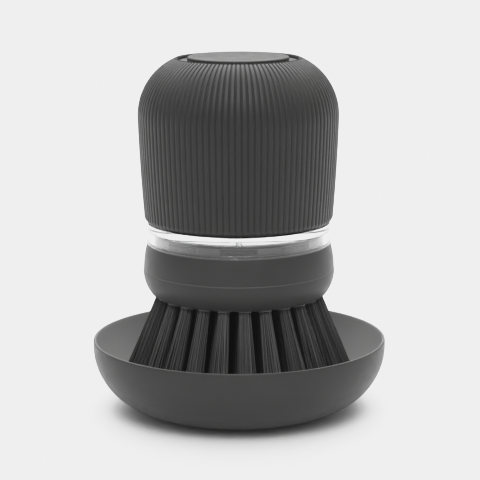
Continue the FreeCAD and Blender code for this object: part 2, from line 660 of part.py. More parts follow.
PIECES = {
    "drip_bowl": drip_bowl,
    "bristle_block": bristle_block,
    "head_collar": head_collar,
    "tuft_anchors": tuft_anchors,
    "soap_funnel": soap_funnel,
    "head_gasket": head_gasket,
    "soap_tank": soap_tank,
    "slit_valve": slit_valve,
    "valve_retainer": valve_retainer,
    "cap_gasket": cap_gasket,
    "ribbed_cap": ribbed_cap,
    "inner_lid": inner_lid,
    "air_valve": air_valve,
    "button_bezel": button_bezel,
    "button_spring": button_spring,
    "push_button": push_button,
    "pump_piston": pump_piston,
    "piston_seal": piston_seal,
}

os.makedirs("parts", exist_ok=True)
shapes = {name: make() for name, make in PIECES.items()}
for ring_name in TUFT_RING_NAMES:
    shapes[ring_name] = tuft_ring(ring_name)
for name, shape in shapes.items():
    shape.exportStep("parts/%s.step" % name)
    heights = (round(shape.BoundBox.ZMin, 2), round(shape.BoundBox.ZMax, 2))
    print(name, len(shape.Solids), shape.isValid(), round(shape.Volume, 1), heights)
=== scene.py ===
# %% [markdown]
# A palm dish brush that gives soap, standing in its drip bowl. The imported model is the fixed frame: every
# piece below is built in that frame, in millimetres, and put into the mesh in metres. Loading the frame
# first means that nothing has to be fitted afterwards.

# %% Load the frame
import json
import math

import bpy
import numpy as np
from mathutils import Matrix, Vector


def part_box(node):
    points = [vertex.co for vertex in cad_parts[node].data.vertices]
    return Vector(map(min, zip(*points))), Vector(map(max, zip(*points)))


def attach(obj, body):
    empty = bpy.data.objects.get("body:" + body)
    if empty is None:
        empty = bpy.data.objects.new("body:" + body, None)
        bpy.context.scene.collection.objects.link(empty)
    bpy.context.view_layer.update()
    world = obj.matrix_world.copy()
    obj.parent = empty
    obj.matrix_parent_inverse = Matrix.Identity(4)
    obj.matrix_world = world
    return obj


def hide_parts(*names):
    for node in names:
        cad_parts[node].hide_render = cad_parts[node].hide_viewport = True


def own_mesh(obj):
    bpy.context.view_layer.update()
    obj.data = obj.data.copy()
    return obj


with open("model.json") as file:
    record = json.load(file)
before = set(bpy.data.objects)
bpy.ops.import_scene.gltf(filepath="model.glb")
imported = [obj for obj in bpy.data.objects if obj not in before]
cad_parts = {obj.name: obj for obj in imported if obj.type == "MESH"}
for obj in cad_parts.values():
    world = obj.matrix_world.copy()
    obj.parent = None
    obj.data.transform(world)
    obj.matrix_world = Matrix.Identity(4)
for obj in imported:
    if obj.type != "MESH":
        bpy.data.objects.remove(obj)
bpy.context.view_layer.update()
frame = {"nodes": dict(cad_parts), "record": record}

MM = 0.001


def reach(node):
    """Largest radius from the common axis, lowest and highest height of a CAD node, in millimetres."""
    low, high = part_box(node)
    return high.x / MM, low.z / MM, high.z / MM


BOWL_R, _, BOWL_HEIGHT = reach("drip_bowl")
_, FACE_Z, BLOCK_TOP = reach("bristle_block")
SEAM_R, SEAM_Z, SPIGOT_TOP = reach("head_collar")
BAND_LIP_R, DECK_Z, NECK_TOP = reach("soap_tank")
CAP_R, CAP_Z, LIP_Z = reach("ribbed_cap")
BUTTON_FLANGE_R, BUTTON_LOW, BUTTON_TOP = reach("push_button")
BEZEL_FLANGE_R, BEZEL_UNDER, BEZEL_TOP = reach("button_bezel")
COIL_OUT_R, SPRING_LOW, SPRING_HIGH = reach("button_spring")
print("bowl", BOWL_R, BOWL_HEIGHT, "face", FACE_Z, "seam", SEAM_R, SEAM_Z, "cap", CAP_R, CAP_Z, LIP_Z)

# %% [markdown]
# The camera stands where the photographer stood. Its height, distance and lens were worked out from how
# open the round edges look: the bowl's rim is a rounder ellipse than the button's, because the camera looks
# down on it more steeply. A long lens far away would make them alike. As everywhere below, lengths are in
# millimetres and angles in degrees.

# %% Camera
CAMERA_BACK = 593.0
CAMERA_HEIGHT = 173.7
CAMERA_ASIDE = 0.37
CAMERA_PITCH = 11.34
CAMERA_ROLL = -0.21
FOCAL_PIXELS = 1912.3
PICTURE_PIXELS = 480
SENSOR_WIDTH = 36.0
FARTHEST_SEEN = 50000.0

camera_data = bpy.data.cameras.new("camera")
camera_data.sensor_width = SENSOR_WIDTH
camera_data.lens = FOCAL_PIXELS / PICTURE_PIXELS * SENSOR_WIDTH
camera_data.clip_end = FARTHEST_SEEN * MM
camera = bpy.data.objects.new("camera", camera_data)
bpy.context.scene.collection.objects.link(camera)
stand = Matrix.Translation((CAMERA_ASIDE * MM, -CAMERA_BACK * MM, CAMERA_HEIGHT * MM))
pitch = Matrix.Rotation(math.radians(90 - CAMERA_PITCH), 4, "X")
roll = Matrix.Rotation(math.radians(CAMERA_ROLL), 4, "Z")
camera.matrix_world = stand @ (pitch @ roll)
bpy.context.scene.camera = camera
print("lens", round(camera_data.lens, 1))

# %% [markdown]
# The light is a white tent with soft boxes behind its cloth. Instead of lamps, the world itself shines:
# each soft box is a lobe of light round one direction, strength * cos(angle)^sharpness. The strongest stand
# above, so the shoulder and the button are light and the sides dark. The floor is meant to burn out to
# plain white, and the picture is then printed so that this white is a light grey and the deepest black is
# not quite black. The print runs straight up to the middle tones and levels off softly, so only the shadow
# close under the bowl stays.

# %% Light tent
# direction, sharpness and strength of each soft box
SOFT_BOXES = {
    "overhead": ((0, 0, 1), 16, 6.4),
    "over_front": ((0, -0.64, 0.77), 24, 14.9),
    "over_back": ((0, 0.7, 0.7), 6, 10.7),
    "right": ((0.95, -0.05, 0.3), 6, 0.7),
    "left_front": ((-0.7, -0.6, 0.4), 8, 0.6),
    "front": ((0, -1, 0.2), 4, 0.5),
}
# light and print level of each point of the tone curve
PRINT_CURVE = ((0.0, 0.005), (0.3, 0.262), (0.6, 0.515), (1.0, 0.735), (1.6, 0.835), (2.4, 0.863))
ALL_COLOURS_CURVE = 3


def math_node(tree, operation, first, second):
    """One arithmetic node; an input is a number or another node's output."""
    node = tree.nodes.new("ShaderNodeMath")
    node.operation = operation
    for socket, value in zip(node.inputs, (first, second)):
        if isinstance(value, (int, float)):
            socket.default_value = value
        else:
            tree.links.new(value, socket)
    return node.outputs[0]


def light_tent():
    """World that shines with strength * max(direction . axis, 0)^sharpness, summed over the soft boxes."""
    world = bpy.data.worlds.new("light_tent")
    world.use_nodes = True
    tree = world.node_tree
    direction = tree.nodes.new("ShaderNodeTexCoord").outputs["Generated"]
    total = 0.0
    for axis, sharpness, strength in SOFT_BOXES.values():
        facing = tree.nodes.new("ShaderNodeVectorMath")
        facing.operation = "DOT_PRODUCT"
        facing.inputs[1].default_value = np.array(axis) / np.linalg.norm(axis)
        tree.links.new(direction, facing.inputs[0])
        lobe = math_node(tree, "POWER", math_node(tree, "MAXIMUM", facing.outputs["Value"], 0.0), sharpness)
        total = math_node(tree, "ADD", math_node(tree, "MULTIPLY", lobe, strength), total)
    tree.links.new(total, tree.nodes["Background"].inputs["Strength"])
    tree.nodes["Background"].inputs["Color"].default_value = (1.0, 1.0, 1.0, 1.0)
    return world


def print_through(curve):
    """Tone curve through points (light, print), flat for all that is brighter than the last point."""
    view = bpy.context.scene.view_settings
    view.view_transform = "Standard"
    view.use_curve_mapping = True
    mapping = view.curve_mapping
    mapping.extend = "HORIZONTAL"
    brightest = curve[-1][0]
    mapping.white_level = (brightest,) * 3
    points = mapping.curves[ALL_COLOURS_CURVE].points
    points[0].location = curve[0]
    points[1].location = (1.0, curve[-1][1])
    for light, level in curve[1:-1]:
        points.new(light / brightest, level)
    mapping.update()


bpy.context.scene.world = light_tent()
print_through(PRINT_CURVE)
print(len(SOFT_BOXES), "soft boxes")

# %% [markdown]
# A finish is a small tree of nodes. A few helpers make the nodes that every finish needs: a noise of a given
# size, a noise stretched between two values, and a colour that runs from dark to light. The noises read
# object coordinates, so a finish stays put when its piece moves.

# %% Helpers for finishes
NOISE_LOW = 0.3
NOISE_HIGH = 0.7
FIRST_COLOUR, SECOND_COLOUR, MIXED_COLOUR = 6, 7, 2     # colour sockets of a mix node


def noise(tree, place, size, detail):
    """Noise whose patches are about the given size in millimetres."""
    node = tree.nodes.new("ShaderNodeTexNoise")
    node.inputs["Scale"].default_value = 1.0 / (size * MM)
    node.inputs["Detail"].default_value = detail
    tree.links.new(place, node.inputs["Vector"])
    return node.outputs[0]


def spread(tree, value, low, high):
    """Noise, most of which lies between two middle values, stretched to run from low to high."""
    node = tree.nodes.new("ShaderNodeMapRange")
    limits = {"From Min": NOISE_LOW, "From Max": NOISE_HIGH, "To Min": low, "To Max": high}
    for name, number in limits.items():
        node.inputs[name].default_value = number
    tree.links.new(value, node.inputs["Value"])
    return node.outputs[0]


def tinted(tree, share, dark, light):
    """Colour that runs from dark to light with the share."""
    node = tree.nodes.new("ShaderNodeMix")
    node.data_type = "RGBA"
    node.inputs[FIRST_COLOUR].default_value = (*dark, 1.0)
    node.inputs[SECOND_COLOUR].default_value = (*light, 1.0)
    tree.links.new(share, node.inputs[0])
    return node.outputs[MIXED_COLOUR]


def new_finish(name):
    """Empty material with its node tree, its surface shader and its object coordinates."""
    material = bpy.data.materials.new(name)
    material.use_nodes = True
    tree = material.node_tree
    place = tree.nodes.new("ShaderNodeTexCoord").outputs["Object"]
    return material, tree, tree.nodes["Principled BSDF"], place


def add_grain(tree, shader, place, size, depth):
    """Fine bump of the given patch size and depth, in millimetres."""
    bump = tree.nodes.new("ShaderNodeBump")
    bump.inputs["Distance"].default_value = depth * MM
    bump.inputs["Strength"].default_value = 1.0
    tree.links.new(noise(tree, place, size, 2.0), bump.inputs["Height"])
    tree.links.new(bump.outputs[0], shader.inputs["Normal"])


print("helpers for finishes ready")

# %% [markdown]
# Most finishes here are moulded plastic. Real mouldings are never one flat colour: the pigment clouds a
# little, and the mould leaves a fine grain that scatters the shine. Three noises of falling size give that.
# Where light is painted on a piece, as a lighter inside of the bowl or as painted highlights, or where soap
# has filmed it, its mesh holds a share at each point, and the colour runs to a lighter one with it.

# %% Moulded plastics
CLOUD_SIZE = 14.0
BLOTCH_SIZE = 3.5
GRAIN_SIZE = 0.34
UNEVEN_ROUGHNESS = 0.04
SHEEN_ROUGHNESS = 0.4


def moulded(name, colour, roughness, grain_depth=0.012, variation=0.06, shine=0.5, sheen=0.0):
    """Moulded plastic or rubber: clouded colour, uneven roughness and a fine grain."""
    material, tree, shader, place = new_finish(name)
    clouds = spread(tree, noise(tree, place, CLOUD_SIZE, 4.0), 0.0, 1.0)
    dark = tuple(part * (1 - variation) for part in colour)
    light = tuple(part * (1 + variation) for part in colour)
    tree.links.new(tinted(tree, clouds, dark, light), shader.inputs["Base Color"])
    blotches = noise(tree, place, BLOTCH_SIZE, 3.0)
    uneven = spread(tree, blotches, roughness - UNEVEN_ROUGHNESS, roughness + UNEVEN_ROUGHNESS)
    tree.links.new(uneven, shader.inputs["Roughness"])
    shader.inputs["Specular IOR Level"].default_value = shine
    shader.inputs["Sheen Weight"].default_value = sheen
    shader.inputs["Sheen Roughness"].default_value = SHEEN_ROUGHNESS
    add_grain(tree, shader, place, GRAIN_SIZE, grain_depth)
    return material


def painted_light_and_soap_film(name, colour, pale, roughness, shine, sheen):
    """Moulded plastic that is lighter where light is painted on it, and where soap has filmed it: the mesh
    says where, from 0 to 1."""
    material = moulded(name, colour, roughness, shine=shine, sheen=sheen)
    tree = material.node_tree
    shader = tree.nodes["Principled BSDF"]
    plain = shader.inputs["Base Color"].links[0].from_socket
    # the share in the mesh: painted light on the bowl's inside, painted highlights on the head, and soap
    # film
    where = tree.nodes.new("ShaderNodeAttribute")
    where.attribute_name = "painted_light_and_soap_film"
    painted_light_and_soap_paling = tree.nodes.new("ShaderNodeMix")
    painted_light_and_soap_paling.data_type = "RGBA"
    painted_light_and_soap_paling.inputs[SECOND_COLOUR].default_value = (*pale, 1.0)
    tree.links.new(where.outputs["Fac"], painted_light_and_soap_paling.inputs[0])
    tree.links.new(plain, painted_light_and_soap_paling.inputs[FIRST_COLOUR])
    tree.links.new(painted_light_and_soap_paling.outputs[MIXED_COLOUR], shader.inputs["Base Color"])
    return material


print("moulded plastics ready")

# %% [markdown]
# Three finishes are no moulded pigment. The tank is clear and polished, with a haze that hardly shows. Wire
# is bright metal, unevenly dull. Each nylon filament has a tone of its own, which its mesh holds.

# %% Clear plastic, wire and nylon
CLEAR_TINT = (0.98, 0.985, 0.985)
CLEAR_BENDING = 1.5
HAZE_SIZE = 14.0 / 3
HAZE_ROUGHNESS = 0.05
STREAK_SIZE = 0.6
STREAK_DARK = 0.8
DRAWN_SIZE = 0.4
DRAWN_ROUGHNESS = (0.22, 0.4)
NYLON_PATCH = 1.5
NYLON_ROUGHNESS = (0.36, 0.5)


def clear_plastic(name):
    """Polished clear plastic: light passes and bends, with a faint moulding haze in the roughness."""
    material, tree, shader, place = new_finish(name)
    shader.inputs["Base Color"].default_value = (*CLEAR_TINT, 1.0)
    shader.inputs["Transmission Weight"].default_value = 1.0
    shader.inputs["IOR"].default_value = CLEAR_BENDING
    haze = spread(tree, noise(tree, place, HAZE_SIZE, 3.0), 0.0, HAZE_ROUGHNESS)
    tree.links.new(haze, shader.inputs["Roughness"])
    return material


def drawn_wire(name, colour):
    """Drawn steel wire: bright metal with fine uneven roughness."""
    material, tree, shader, place = new_finish(name)
    shader.inputs["Metallic"].default_value = 1.0
    streaks = spread(tree, noise(tree, place, STREAK_SIZE, 3.0), 0.0, 1.0)
    dark = tuple(STREAK_DARK * part for part in colour)
    tree.links.new(tinted(tree, streaks, dark, colour), shader.inputs["Base Color"])
    uneven = spread(tree, noise(tree, place, DRAWN_SIZE, 2.0), *DRAWN_ROUGHNESS)
    tree.links.new(uneven, shader.inputs["Roughness"])
    return material


def nylon(name, dark, light):
    """Nylon filaments: each has its own tone, kept in the mesh, and a satin shine."""
    material, tree, shader, place = new_finish(name)
    tone = tree.nodes.new("ShaderNodeAttribute")
    tone.attribute_name = "filament_tone"
    tree.links.new(tinted(tree, tone.outputs["Fac"], dark, light), shader.inputs["Base Color"])
    uneven = spread(tree, noise(tree, place, NYLON_PATCH, 2.0), *NYLON_ROUGHNESS)
    tree.links.new(uneven, shader.inputs["Roughness"])
    return material


print("clear plastic, wire and nylon ready")

# %% [markdown]
# Each material slot of the record gets its finish here. The dark plastics are meant to look alike, so they
# differ only a little: the cap is the darkest and shines most, and the button shines least.

# %% Finishes
FINISHES = {
    # pale colours: painted light on the bowl's inside and painted highlights on the head, which also uses it
    # for soap film
    "bowl_plastic": painted_light_and_soap_film("bowl_plastic", (0.0252, 0.0247, 0.0244), pale=(0.165, 0.162, 0.161),
                            roughness=0.45, shine=0.12, sheen=0.03),
    "head_plastic": painted_light_and_soap_film("head_plastic", (0.0266, 0.0261, 0.0258), pale=(0.2, 0.197, 0.196),
                            roughness=0.45, shine=0.13, sheen=0.03),
    "cap_plastic": moulded("cap_plastic", (0.0187, 0.0183, 0.0181), 0.46, shine=0.19),
    "button_plastic": moulded("button_plastic", (0.0275, 0.0269, 0.0265), 0.46, shine=0.07),
    "lid_plastic": moulded("lid_plastic", (0.7, 0.7, 0.69), 0.45, variation=0.02),
    "clear_plastic": clear_plastic("clear_plastic"),
    "bristle": nylon("bristle", (0.008, 0.0078, 0.0077), (0.05, 0.049, 0.0486)),
    "anchor_wire": drawn_wire("anchor_wire", (0.62, 0.62, 0.62)),
    "seal_rubber": moulded("seal_rubber", (0.02, 0.02, 0.02), 0.7),
    "valve_silicone": moulded("valve_silicone", (0.72, 0.72, 0.71), 0.5, variation=0.02),
    "spring_steel": drawn_wire("spring_steel", (0.6, 0.6, 0.61)),
}
print(len(FINISHES), "finishes")

# %% [markdown]
# Nearly every piece is turned: an outline carried round the axis. A sharp corner looks like a computer
# drawing, so each corner of an outline carries its own small rounding, with a point just before and after
# it that keeps the flats flat when the surface is shaded smooth.

# %% Outlines
ARC_STEPS = 5
NEARLY_STRAIGHT = 0.9999
LONGEST_ROUNDING = 0.45     # share of the shorter side that a rounding may take
SUPPORT_SHARE = 0.4         # of the arc's distance from the corner, on to the point that keeps the flat
SUPPORT_LEAST = 0.02
SUPPORT_LIMIT = 0.48        # share of the shorter side


def rounded(corners):
    """Closed outline through corners (r, z, rounding). A rounded corner is an arc tangent to both sides: its
    centre lies on the bisector at rounding / sin(half angle), and it starts rounding / tan(half angle)
    from the corner."""
    points = np.array([corner[:2] for corner in corners], float)
    rounding = np.array([corner[2] for corner in corners], float)[:, None]
    before = np.roll(points, 1, axis=0) - points
    after = np.roll(points, -1, axis=0) - points
    before_length = np.linalg.norm(before, axis=1, keepdims=True)
    after_length = np.linalg.norm(after, axis=1, keepdims=True)
    before = before / before_length
    after = after / after_length
    shorter = np.minimum(before_length, after_length)
    cosine = np.clip((before * after).sum(1, keepdims=True), -NEARLY_STRAIGHT, NEARLY_STRAIGHT)
    half = np.arccos(cosine) / 2
    start = np.minimum(rounding / np.tan(half), LONGEST_ROUNDING * shorter)
    radius = start * np.tan(half)
    bisector = before + after
    bisector = bisector / np.linalg.norm(bisector, axis=1, keepdims=True)
    centre = points + bisector * (radius / np.sin(half))
    share = np.linspace(0, 1, ARC_STEPS)[None, :, None]
    first = points + before * start - centre
    last = points + after * start - centre
    turn = np.pi - 2 * half[:, :, None]
    arc = np.sin((1 - share) * turn) * first[:, None] + np.sin(share * turn) * last[:, None]
    arc = arc / np.sin(turn)
    support = np.minimum(start * SUPPORT_SHARE + SUPPORT_LEAST, SUPPORT_LIMIT * shorter - start)
    entry = points + before * (start + support)
    leave = points + after * (start + support)
    blocks = np.concatenate([entry[:, None], centre[:, None] + arc, leave[:, None]], axis=1)
    return blocks.reshape(-1, 2)


def section_arc(centre, radius, start, stop, steps):
    """Points of a section circle from one angle to another, in degrees from the outward direction."""
    angle = np.radians(np.linspace(start, stop, steps))
    return np.stack([centre[0] + radius * np.cos(angle), centre[1] + radius * np.sin(angle)], axis=1)


print("outlines ready,", ARC_STEPS, "points in a rounding")

# %% [markdown]
# A mesh is an array of points and an array of faces. Every new piece goes into the scene the same way: its
# points in metres, its place in the mesh itself, its finish, the body that it moves with and the CAD node
# that it stands for. Turning an outline gives a grid of points, and the faces follow from its rows.

# %% Meshes and turned pieces
def grid_faces(rows, columns, closed_rows):
    """Quads of a grid that closes on itself round the axis, and also along the outline where asked."""
    row = np.arange(rows if closed_rows else rows - 1)[:, None]
    column = np.arange(columns)[None, :]
    row_up = (row + 1) % rows
    column_on = (column + 1) % columns
    here = row * columns
    above = row_up * columns
    corners = [here + column, here + column_on, above + column_on, above + column]
    return np.stack(corners, axis=-1).reshape(-1, 4)


def put(name, points, faces, slot, body, *nodes):
    """New smooth piece from points in millimetres and faces, with its finish, body and CAD nodes."""
    mesh = bpy.data.meshes.new(name)
    mesh.from_pydata((points * MM).tolist(), [], [face for group in faces for face in group.tolist()])
    mesh.polygons.foreach_set("use_smooth", np.ones(len(mesh.polygons), bool))
    mesh.materials.append(FINISHES[slot])
    mesh.update()
    piece = bpy.data.objects.new(name, mesh)
    bpy.context.scene.collection.objects.link(piece)
    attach(piece, body)
    if nodes:
        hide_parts(*nodes)
    print(name, len(mesh.vertices), "points", len(mesh.polygons), "faces")
    return piece


def mark_points(piece, name, values):
    """Number kept at each point of a piece, for its finish to read."""
    piece.data.attributes.new(name, "FLOAT", "POINT").data.foreach_set("value", values)


def ring_points(outline, angles, swell=None):
    """Outline points (r, z) at each angle: (r cos, r sin, z). A swell, where given, adds to r."""
    radius = np.repeat(outline[:, :1], len(angles), axis=1)
    if swell is not None:
        radius = radius + swell
    height = np.repeat(outline[:, 1:], len(angles), axis=1)
    return np.stack([radius * np.cos(angles), radius * np.sin(angles), height], axis=-1)


def turned(outline, sides):
    """Points and faces of an outline, counter-clockwise in (r, z), carried round the axis. An outline that
    begins and ends on the axis gets one point there and a fan of triangles; any other closes on itself."""
    angles = np.arange(sides) * 2 * np.pi / sides
    if outline[0, 0] > 0:
        return ring_points(outline, angles).reshape(-1, 3), [grid_faces(len(outline), sides, True)]
    rings = ring_points(outline[1:-1], angles).reshape(-1, 3)
    poles = np.array([(0.0, 0.0, outline[0, 1]), (0.0, 0.0, outline[-1, 1])])
    column = np.arange(sides)
    column_on = (column + 1) % sides
    last = len(rings) - sides
    first_fan = np.stack([np.full(sides, len(rings)), column_on, column], axis=1)
    last_fan = np.stack([np.full(sides, len(rings) + 1), last + column, last + column_on], axis=1)
    return np.concatenate([rings, poles]), [grid_faces(len(outline) - 2, sides, False), first_fan, last_fan]


print("turning ready")

# %% [markdown]
# The drip bowl is one moulding: a flat foot ring, an underside that rises in a wide arc and a tighter round
# side that just begins to lean in at the rim. Inside, one single arc runs from the flat floor up to a thin
# rim, so the wall opens towards the light and the rim shows as a fine line. The inside is painted lighter,
# most at the rim, as painted light. The section is arcs only, carried round the axis.

# %% Drip bowl
BOWL_WIDEST_Z = 21.5
BOWL_SIDE_R = 20.0
BOWL_UNDER_TURN = 30.0
BOWL_FLOOR = 2.5
RIM_THICK = 0.9
RIM_OPEN = 14.0
FOOT_RING_WIDTH = 4.0
FOOT_RECESS = 0.6
FOOT_CORNER = 0.15
FOOT_FLAT_END = 0.3
RECESS_CORNER = 0.1
RECESS_FLAT_END = 0.4
# painted light: the inside is painted lighter, least at the floor and most at the rim
PAINTED_LIGHT_FLOOR = 0.2         # paleness at the foot's height, against 1 at the rim's
PAINTED_LIGHT_RIM = 0.3           # share of that paleness where the rim turns inside
UNDER_STEPS, SIDE_STEPS, RIM_STEPS, INSIDE_STEPS = 20, 28, 10, 40
RIM_OUTSIDE = 4             # rim points that count as outside
BOWL_SIDES = 288


def drip_bowl():
    """Foot ring, underside arc, side arc, rim arc and inside arc, and how light each point is painted:
    painted light on the inside, growing towards the rim. The rim circle touches the side from inside. The
    inside arc leaves the rim with its normal raised by the opening angle and ends level on the floor, so its
    radius is (rim height - floor) / (1 - sin(opening))."""
    turn = math.radians(BOWL_UNDER_TURN)
    side_mid = (BOWL_R - BOWL_SIDE_R, BOWL_WIDEST_Z)
    under_r = (BOWL_WIDEST_Z - BOWL_SIDE_R * math.cos(turn)) / (1 - math.cos(turn))
    under_mid = (side_mid[0] - (under_r - BOWL_SIDE_R) * math.sin(turn), under_r)
    rim_r = RIM_THICK / 2
    rim_z = BOWL_HEIGHT - rim_r
    lean = math.asin((rim_z - BOWL_WIDEST_Z) / (BOWL_SIDE_R - rim_r))
    rim_mid = (side_mid[0] + (BOWL_SIDE_R - rim_r) * math.cos(lean), rim_z)
    tilt_in = math.radians(RIM_OPEN)
    inside_r = (rim_z + rim_r * math.sin(tilt_in) - BOWL_FLOOR) / (1 - math.sin(tilt_in))
    inside_mid = (rim_mid[0] - (rim_r + inside_r) * math.cos(tilt_in), BOWL_FLOOR + inside_r)
    foot_r = under_mid[0]
    recess_r = foot_r - FOOT_RING_WIDTH
    recess = np.array([(0.0, FOOT_RECESS), (recess_r - RECESS_FLAT_END, FOOT_RECESS)])
    foot = np.array([(recess_r - RECESS_CORNER, FOOT_RECESS - RECESS_CORNER), (recess_r, FOOT_CORNER),
                     (recess_r + FOOT_CORNER, 0.0), (foot_r - FOOT_FLAT_END, 0.0)])
    under = section_arc(under_mid, under_r, -90, BOWL_UNDER_TURN - 90, UNDER_STEPS)
    side = section_arc(side_mid, BOWL_SIDE_R, BOWL_UNDER_TURN - 90, math.degrees(lean), SIDE_STEPS)
    rim = section_arc(rim_mid, rim_r, math.degrees(lean), 180 - RIM_OPEN, RIM_STEPS)
    inside = section_arc(inside_mid, inside_r, -RIM_OPEN, -90, INSIDE_STEPS)
    floor = np.array([(inside_mid[0] / 2, BOWL_FLOOR), (0.0, BOWL_FLOOR)])
    outer = np.concatenate([recess, foot, under, side[1:], rim[1:RIM_OUTSIDE]])
    inner = np.concatenate([rim[RIM_OUTSIDE:], inside[1:], floor])
    # painted light on the inside, growing with height
    paler = PAINTED_LIGHT_FLOOR + (1 - PAINTED_LIGHT_FLOOR) * inner[:, 1] / BOWL_HEIGHT
    rim_inside = RIM_STEPS - RIM_OUTSIDE
    paler[:rim_inside] *= np.linspace(PAINTED_LIGHT_RIM, 1, rim_inside)
    return np.concatenate([outer, inner]), np.append(np.zeros(len(outer)), paler)


bowl_outline, bowl_painted_light = drip_bowl()
bowl = put("bowl", *turned(bowl_outline, BOWL_SIDES), "bowl_plastic", "bowl", "drip_bowl")
# painted light on the bowl's inside
mark_points(bowl, "painted_light_and_soap_film", np.append(np.repeat(bowl_painted_light[1:-1], BOWL_SIDES), bowl_painted_light[[0, -1]]))

# %% [markdown]
# The brush head is two mouldings that meet at its widest ring. The lower one stands a hair proud there, and
# its rounded edge is painted light, a painted highlight that shows as a fine light line, as on the real
# head.
# Its flank leaves the parting line upright in a wide arc and turns under in a tighter one to the face that
# holds the tufts.

# %% Lower half of the head
FLANK_R = 11.8
FLANK_TURN = 36.0
SOAP_HOLE_R = 2.5
HEAD_BORE_R = 27.4
LOCATING_RING_WALL = 1.8
SEAM_STEP = 0.12
SEAM_ROUND = 0.35
# how light the seam's rounded edge is painted: a painted highlight
SEAM_PAINTED_HIGHLIGHT = 0.26
FACE_START = -88.0          # where the edge arc leaves the face
EDGE_STEPS, FLANK_STEPS, SEAM_STEPS = 12, 18, 9
HEAD_SIDES = 224


def upright_arc(start, end, steps):
    """Points of the arc that leaves start upright and ends nearer the axis: its radius is
    (inward^2 + upward^2) / (2 inward)."""
    inward = start[0] - end[0]
    upward = end[1] - start[1]
    radius = (inward ** 2 + upward ** 2) / (2 * inward)
    angle = np.linspace(0, math.asin(upward / radius), steps)
    return np.stack([start[0] - radius * (1 - np.cos(angle)), start[1] + radius * np.sin(angle)], axis=1)


def lower_head():
    """Edge arc, flank arc, proud rounded edge at the seam, locating ring and soap hole. The edge arc ends
    level on the face, so its radius is (height left under the flank arc) / (1 - sin(turn)). Also how light
    each
    point is painted, as a painted highlight: most in the middle of the rounded edge."""
    turn = math.radians(FLANK_TURN)
    edge_r = (SEAM_Z - SEAM_ROUND - FACE_Z - FLANK_R * math.sin(turn)) / (1 - math.sin(turn))
    flank_mid = (SEAM_R - FLANK_R, SEAM_Z - SEAM_ROUND)
    edge_mid = (flank_mid[0] + (FLANK_R - edge_r) * math.cos(turn), FACE_Z + edge_r)
    edge = section_arc(edge_mid, edge_r, FACE_START, -FLANK_TURN, EDGE_STEPS)
    flank = section_arc(flank_mid, FLANK_R, -FLANK_TURN, 0, FLANK_STEPS)
    lip = section_arc((SEAM_R - SEAM_ROUND, SEAM_Z - SEAM_ROUND), SEAM_ROUND, 0, 90, SEAM_STEPS)
    ring_r = HEAD_BORE_R - LOCATING_RING_WALL
    inside = rounded([(HEAD_BORE_R, SEAM_Z, 0.05), (HEAD_BORE_R, BLOCK_TOP, 0.2), (ring_r, BLOCK_TOP, 0.2),
                      (ring_r, SEAM_Z, 0.05), (SOAP_HOLE_R, SEAM_Z, 0.2), (SOAP_HOLE_R, FACE_Z, 0.3)])
    below = np.concatenate([edge, flank[1:]])
    # painted highlight along the middle of the rounded edge
    lip_painted_highlight = SEAM_PAINTED_HIGHLIGHT * np.sin(np.linspace(0, np.pi, len(lip) - 1))
    painted_light_and_soap_paling = np.concatenate([np.zeros(len(below)), lip_painted_highlight, np.zeros(len(inside))])
    return np.concatenate([below, lip[1:], inside]), painted_light_and_soap_paling


block_outline, block_painted_highlight = lower_head()
block = put("head_lower", *turned(block_outline, HEAD_SIDES), "head_plastic", "head", "bristle_block")
# painted highlight on the seam
mark_points(block, "painted_light_and_soap_film", np.repeat(block_painted_highlight, HEAD_SIDES))

# %% [markdown]
# The upper half is a smooth collar with a spigot inside. The tank turns onto nine low lugs round the spigot,
# which show as soft grey shapes through the clear band. The lugs are no separate blocks: the spigot's
# radius swells by a smooth step in angle and height. A film of dried soap makes the deck, its outer edge and
# the hollows between the lugs paler. The deck stands a hair up into the tank's foot, as if wet, so the clear
# plastic shows it and does not mirror there.

# %% Upper half of the head
COLLAR_TOP_R = 29.05
COLLAR_BORE_R = 27.45
DECK_THICK = 1.8
SPIGOT_R = 26.35
SPIGOT_BORE_R = 24.45
LUG_COUNT = 9
LUG_HALF_WIDTH = 12.0
LUG_PROUD = 0.35
LUG_LOW = 2.1
LUG_HIGH = 0.4
LUG_SIDE_SOFT = 0.8         # degrees
LUG_EDGE_SOFT = 0.3
COLLAR_EDGE = 0.3
COLLAR_EDGE_INSET = 0.05
COLLAR_EDGE_START = 10.0    # degrees
COLLAR_LIFT = 0.02          # of the collar's inner foot above the seam
SPIGOT_EDGE = 0.2
DECK_OUT = 0.4
SPIGOT_FILLET = 0.3
FILLET_FOOT = 0.05
WALL_STEPS, COLLAR_EDGE_STEPS, SPIGOT_STEPS = 18, 5, 22
DECK_WET = 0.03
FILM_ON_DECK = 1.0
FILM_ON_SPIGOT = 0.4
FILM_ON_EDGE = 0.45
COLLAR_SIDES = 480


def smooth_step(value):
    """0 below 0, 1 above 1, and 3 v^2 - 2 v^3 between."""
    value = np.clip(value, 0, 1)
    return value * value * (3 - 2 * value)


